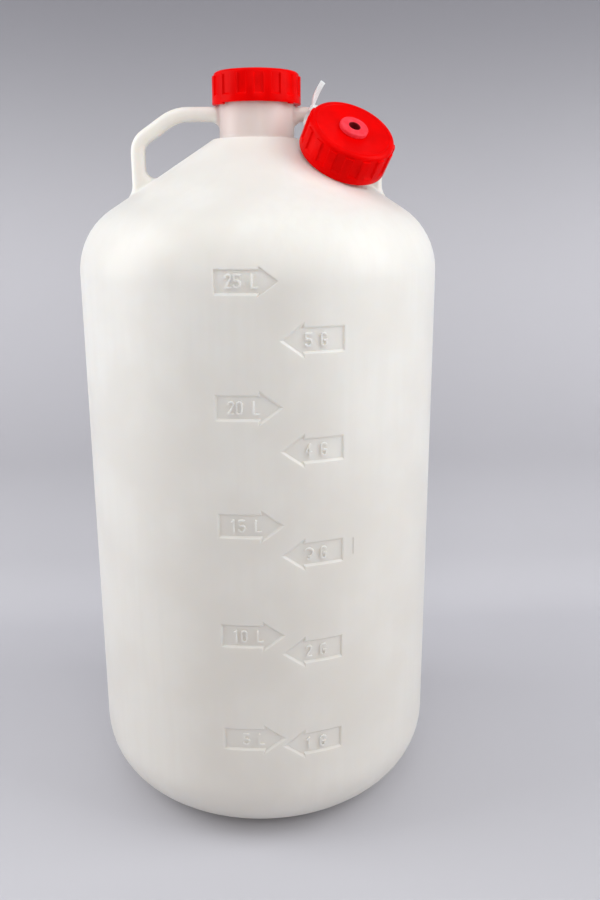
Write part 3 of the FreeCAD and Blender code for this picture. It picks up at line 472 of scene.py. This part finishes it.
class CarboyStageLook(bpy.types.PropertyGroup):
    """Backdrop, lights and camera."""
    paper: FloatVectorProperty(
        name="Paper", description="Colour of the background paper",
        subtype="COLOR", size=4, min=0, max=1, default=linear("#C4C3C8"))
    # painted shade where the paper turns up
    paper_bend_painted_shade: FloatVectorProperty(
        name="Paper bend", description="Colour of the paper where it turns up",
        subtype="COLOR", size=4, min=0, max=1, default=linear("#B9B8BD"))
    # painted shade high on the wall
    paper_top_painted_shade: FloatVectorProperty(
        name="Paper top", description="Colour of the paper high on the wall",
        subtype="COLOR", size=4, min=0, max=1, default=linear("#807F85"))
    paper_shade: FloatVectorProperty(
        name="Paper shade", description="Second tone of the background paper",
        subtype="COLOR", size=4, min=0, max=1, default=linear("#C1C0C5"))
    paper_width: FloatProperty(
        name="Paper width", description="Width of the background paper",
        unit="LENGTH", min=0, default=7.0)
    paper_depth: FloatProperty(
        name="Paper depth", description="Length of the paper that lies on the floor",
        unit="LENGTH", min=0, default=3.6)
    bend_start: FloatProperty(
        name="Bend start", description="How far behind the bottle's axis the paper turns up",
        unit="LENGTH", default=0.26)
    bend_radius: FloatProperty(
        name="Bend radius", description="Radius of the paper's turn into the wall",
        unit="LENGTH", min=0, default=0.16)
    wall_height: FloatProperty(
        name="Wall height", description="Height of the paper wall above its bend",
        unit="LENGTH", min=0, default=3.0)
    room: FloatVectorProperty(
        name="Room", description="Colour of the even light from the room all round",
        subtype="COLOR", size=4, min=0, max=1, default=linear("#E8E8EA"))
    room_strength: FloatProperty(
        name="Room strength", description="Strength of the even light from the room",
        min=0, default=0.5)
    aim_height: FloatProperty(
        name="Aim height", description="Height above the floor that the soft boxes point at",
        unit="LENGTH", default=0.33)
    lens_mm: FloatProperty(
        name="Lens", description="Focal length of the camera, in millimetres",
        min=1, default=36.41)
    eye_height: FloatProperty(
        name="Eye height", description="Height of the camera above the floor",
        unit="LENGTH", default=0.4904)
    eye_distance: FloatProperty(
        name="Eye distance", description="Distance of the camera from the bottle's axis",
        unit="LENGTH", min=0, default=0.7443)
    look_down: FloatProperty(
        name="Look down", description="How far the camera points down, in degrees",
        default=15.34)
    look_right: FloatProperty(
        name="Look right", description="How far the camera points right, in degrees",
        default=2.485)
    camera_roll: FloatProperty(
        name="Roll", description="How far the camera leans, in degrees",
        default=-0.226)


# ---------------------------------------------------------------- pieces

class CARBOY_OT_bottle(bpy.types.Operator):
    """Finish the bottle with its two grips"""
    bl_idname = "carboy.bottle"
    bl_label = "Bottle"

    def execute(self, context):
        look = context.scene.carboy_bottle
        bottle = merged_copy("carboy", "bottle")
        smooth(bottle, look.crease_angle)
        finish_piece(bottle, blow_moulded_polyethylene(look), "carboy")
        return {"FINISHED"}


class CARBOY_OT_caps(bpy.types.Operator):
    """Finish the screw cap and the spare cap"""
    bl_idname = "carboy.caps"
    bl_label = "Caps"

    def execute(self, context):
        look = context.scene.carboy_cap
        red = moulded_polypropylene(look)
        for node in ("screw_cap", "spare_cap"):
            cap = merged_copy(node, node + "_moulded")
            apply_modifier(cap, "BEVEL", "moulded_edges", width=look.edge_rounding, segments=2,
                           limit_method="ANGLE", angle_limit=math.radians(BEVELLED_EDGE),
                           harden_normals=False)
            smooth(cap, CREASE)
            finish_piece(cap, red, node)
        return {"FINISHED"}


class CARBOY_OT_grommet(bpy.types.Operator):
    """Finish the rubber grommet in the spare cap"""
    bl_idname = "carboy.grommet"
    bl_label = "Grommet"

    def execute(self, context):
        look = context.scene.carboy_fitting
        grommet = merged_copy("grommet", "grommet_moulded")
        smooth(grommet, CREASE)
        finish_piece(grommet, moulded_silicone(look), "grommet")
        return {"FINISHED"}


class CARBOY_OT_tie(bpy.types.Operator):
    """Finish the cable tie"""
    bl_idname = "carboy.tie"
    bl_label = "Cable tie"

    def execute(self, context):
        look = context.scene.carboy_fitting
        tie = merged_copy("cable_tie", "tie_strap")
        smooth(tie, CREASE)
        finish_piece(tie, moulded_nylon(look), "cable_tie")
        return {"FINISHED"}


# ---------------------------------------------------------------- stage

def add_paper_sheet(name, look, middle):
    """A flat sheet of paper just under the bottle's foot, its middle so far behind the bottle's axis."""
    deselect_all()
    bpy.ops.mesh.primitive_plane_add(size=1, location=(0, 0, 0))
    sheet = bpy.context.object
    sheet.name = name
    sheet.scale = (look.paper_width, look.paper_depth, 1)
    sheet.location = (0, middle, -UNDER_FOOT)
    bpy.ops.object.transform_apply(location=True, rotation=True, scale=True)
    return sheet


def add_paper(look):
    """The paper: a floor that curves up into a wall, and the same floor again behind the wall."""
    floor_behind = add_paper_sheet("floor_behind", look, look.bend_start + look.paper_depth / 2)
    sweep = add_paper_sheet("paper_sweep", look, look.bend_start - look.paper_depth / 2)
    bpy.ops.object.mode_set(mode="EDIT")
    bpy.ops.mesh.select_all(action="DESELECT")
    bpy.ops.object.mode_set(mode="OBJECT")
    back = max(vertex.co.y for vertex in sweep.data.vertices)
    for edge in sweep.data.edges:
        edge.select = all(abs(sweep.data.vertices[v].co.y - back) < MM for v in edge.vertices)
    bpy.ops.object.mode_set(mode="EDIT")
    reach = look.bend_radius * math.pi / 2 / BEND_STEPS
    for step in range(BEND_STEPS):
        turn = math.pi / 2 * (step + 0.5) / BEND_STEPS
        bpy.ops.mesh.extrude_region_move(
            TRANSFORM_OT_translate={"value": (0, reach * math.cos(turn), reach * math.sin(turn))})
    bpy.ops.mesh.extrude_region_move(TRANSFORM_OT_translate={"value": (0, 0, look.wall_height)})
    bpy.ops.object.mode_set(mode="OBJECT")
    smooth(sweep, 60)
    paper = matt_paper(look)
    for sheet in (sweep, floor_behind):
        sheet.data.materials.append(paper)


def add_area_light(name, place, aim, width, height, power, colour):
    """A soft box at a place, pointing at another."""
    data = bpy.data.lights.new(name, "AREA")
    data.shape = "RECTANGLE"
    data.size, data.size_y = width, height
    data.energy = power
    data.color = colour
    light = bpy.data.objects.new(name, data)
    bpy.context.scene.collection.objects.link(light)
    light.location = place
    light.rotation_euler = (Vector(aim) - Vector(place)).to_track_quat("-Z", "Y").to_euler()


def add_camera(look):
    """The camera, in front of the bottle, level with its shoulder and looking down at it."""
    data = bpy.data.cameras.new("camera")
    data.sensor_width = 36
    data.lens = look.lens_mm
    camera = bpy.data.objects.new("camera", data)
    bpy.context.scene.collection.objects.link(camera)
    camera.matrix_world = (Matrix.Translation((0, -look.eye_distance, look.eye_height))
                           @ Matrix.Rotation(math.radians(-look.look_right), 4, "Z")
                           @ Matrix.Rotation(math.radians(90 - look.look_down), 4, "X")
                           @ Matrix.Rotation(math.radians(look.camera_roll), 4, "Z"))
    bpy.context.scene.camera = camera


class CARBOY_OT_stage(bpy.types.Operator):
    """Add the background paper, the lights and the camera"""
    bl_idname = "carboy.stage"
    bl_label = "Stage"

    def execute(self, context):
        look = context.scene.carboy_stage
        add_paper(look)
        for name, place, width, height, power, colour in SOFT_BOXES:
            add_area_light(name, place, (0, 0, look.aim_height), width, height, power, colour)
        world = bpy.data.worlds.new("room")
        world.use_nodes = True
        background = world.node_tree.nodes["Background"]
        background.inputs["Color"].default_value = look.room
        background.inputs["Strength"].default_value = look.room_strength
        context.scene.world = world
        context.scene.view_settings.view_transform = "Standard"
        add_camera(look)
        return {"FINISHED"}


# ---------------------------------------------------------------- panel and registration

class CARBOY_PT_panel(bpy.types.Panel):
    """Lists the carboy's pieces and their settings"""
    bl_idname = "CARBOY_PT_panel"
    bl_label = "Carboy"
    bl_space_type = "VIEW_3D"
    bl_region_type = "UI"
    bl_category = "Carboy"

    def draw(self, context):
        for step in STEPS:
            self.layout.operator(step.bl_idname)
        for group_name, group in SETTINGS.items():
            box = self.layout.box()
            box.label(text=group.__doc__)
            for setting in group.__annotations__:
                box.prop(getattr(context.scene, group_name), setting)


SETTINGS = {
    "carboy_bottle": CarboyBottleLook,
    "carboy_cap": CarboyCapLook,
    "carboy_fitting": CarboyFittingLook,
    "carboy_stage": CarboyStageLook,
}
STEPS = (CARBOY_OT_bottle, CARBOY_OT_caps, CARBOY_OT_grommet, CARBOY_OT_tie, CARBOY_OT_stage)


def register():
    """Registers the settings, the operators and the panel."""
    for group_name, group in SETTINGS.items():
        bpy.utils.register_class(group)
        setattr(bpy.types.Scene, group_name, PointerProperty(type=group))
    for kind in STEPS + (CARBOY_PT_panel,):
        bpy.utils.register_class(kind)


def unregister():
    """Takes everything that register added away again."""
    for kind in reversed(STEPS + (CARBOY_PT_panel,)):
        bpy.utils.unregister_class(kind)
    for group_name, group in SETTINGS.items():
        delattr(bpy.types.Scene, group_name)
        bpy.utils.unregister_class(group)


def main():
    """Builds every piece and the stage."""
    register()
    bpy.ops.carboy.bottle()
    bpy.ops.carboy.caps()
    bpy.ops.carboy.grommet()
    bpy.ops.carboy.tie()
    bpy.ops.carboy.stage()
    deselect_all()


if __name__ == "__main__":
    main()
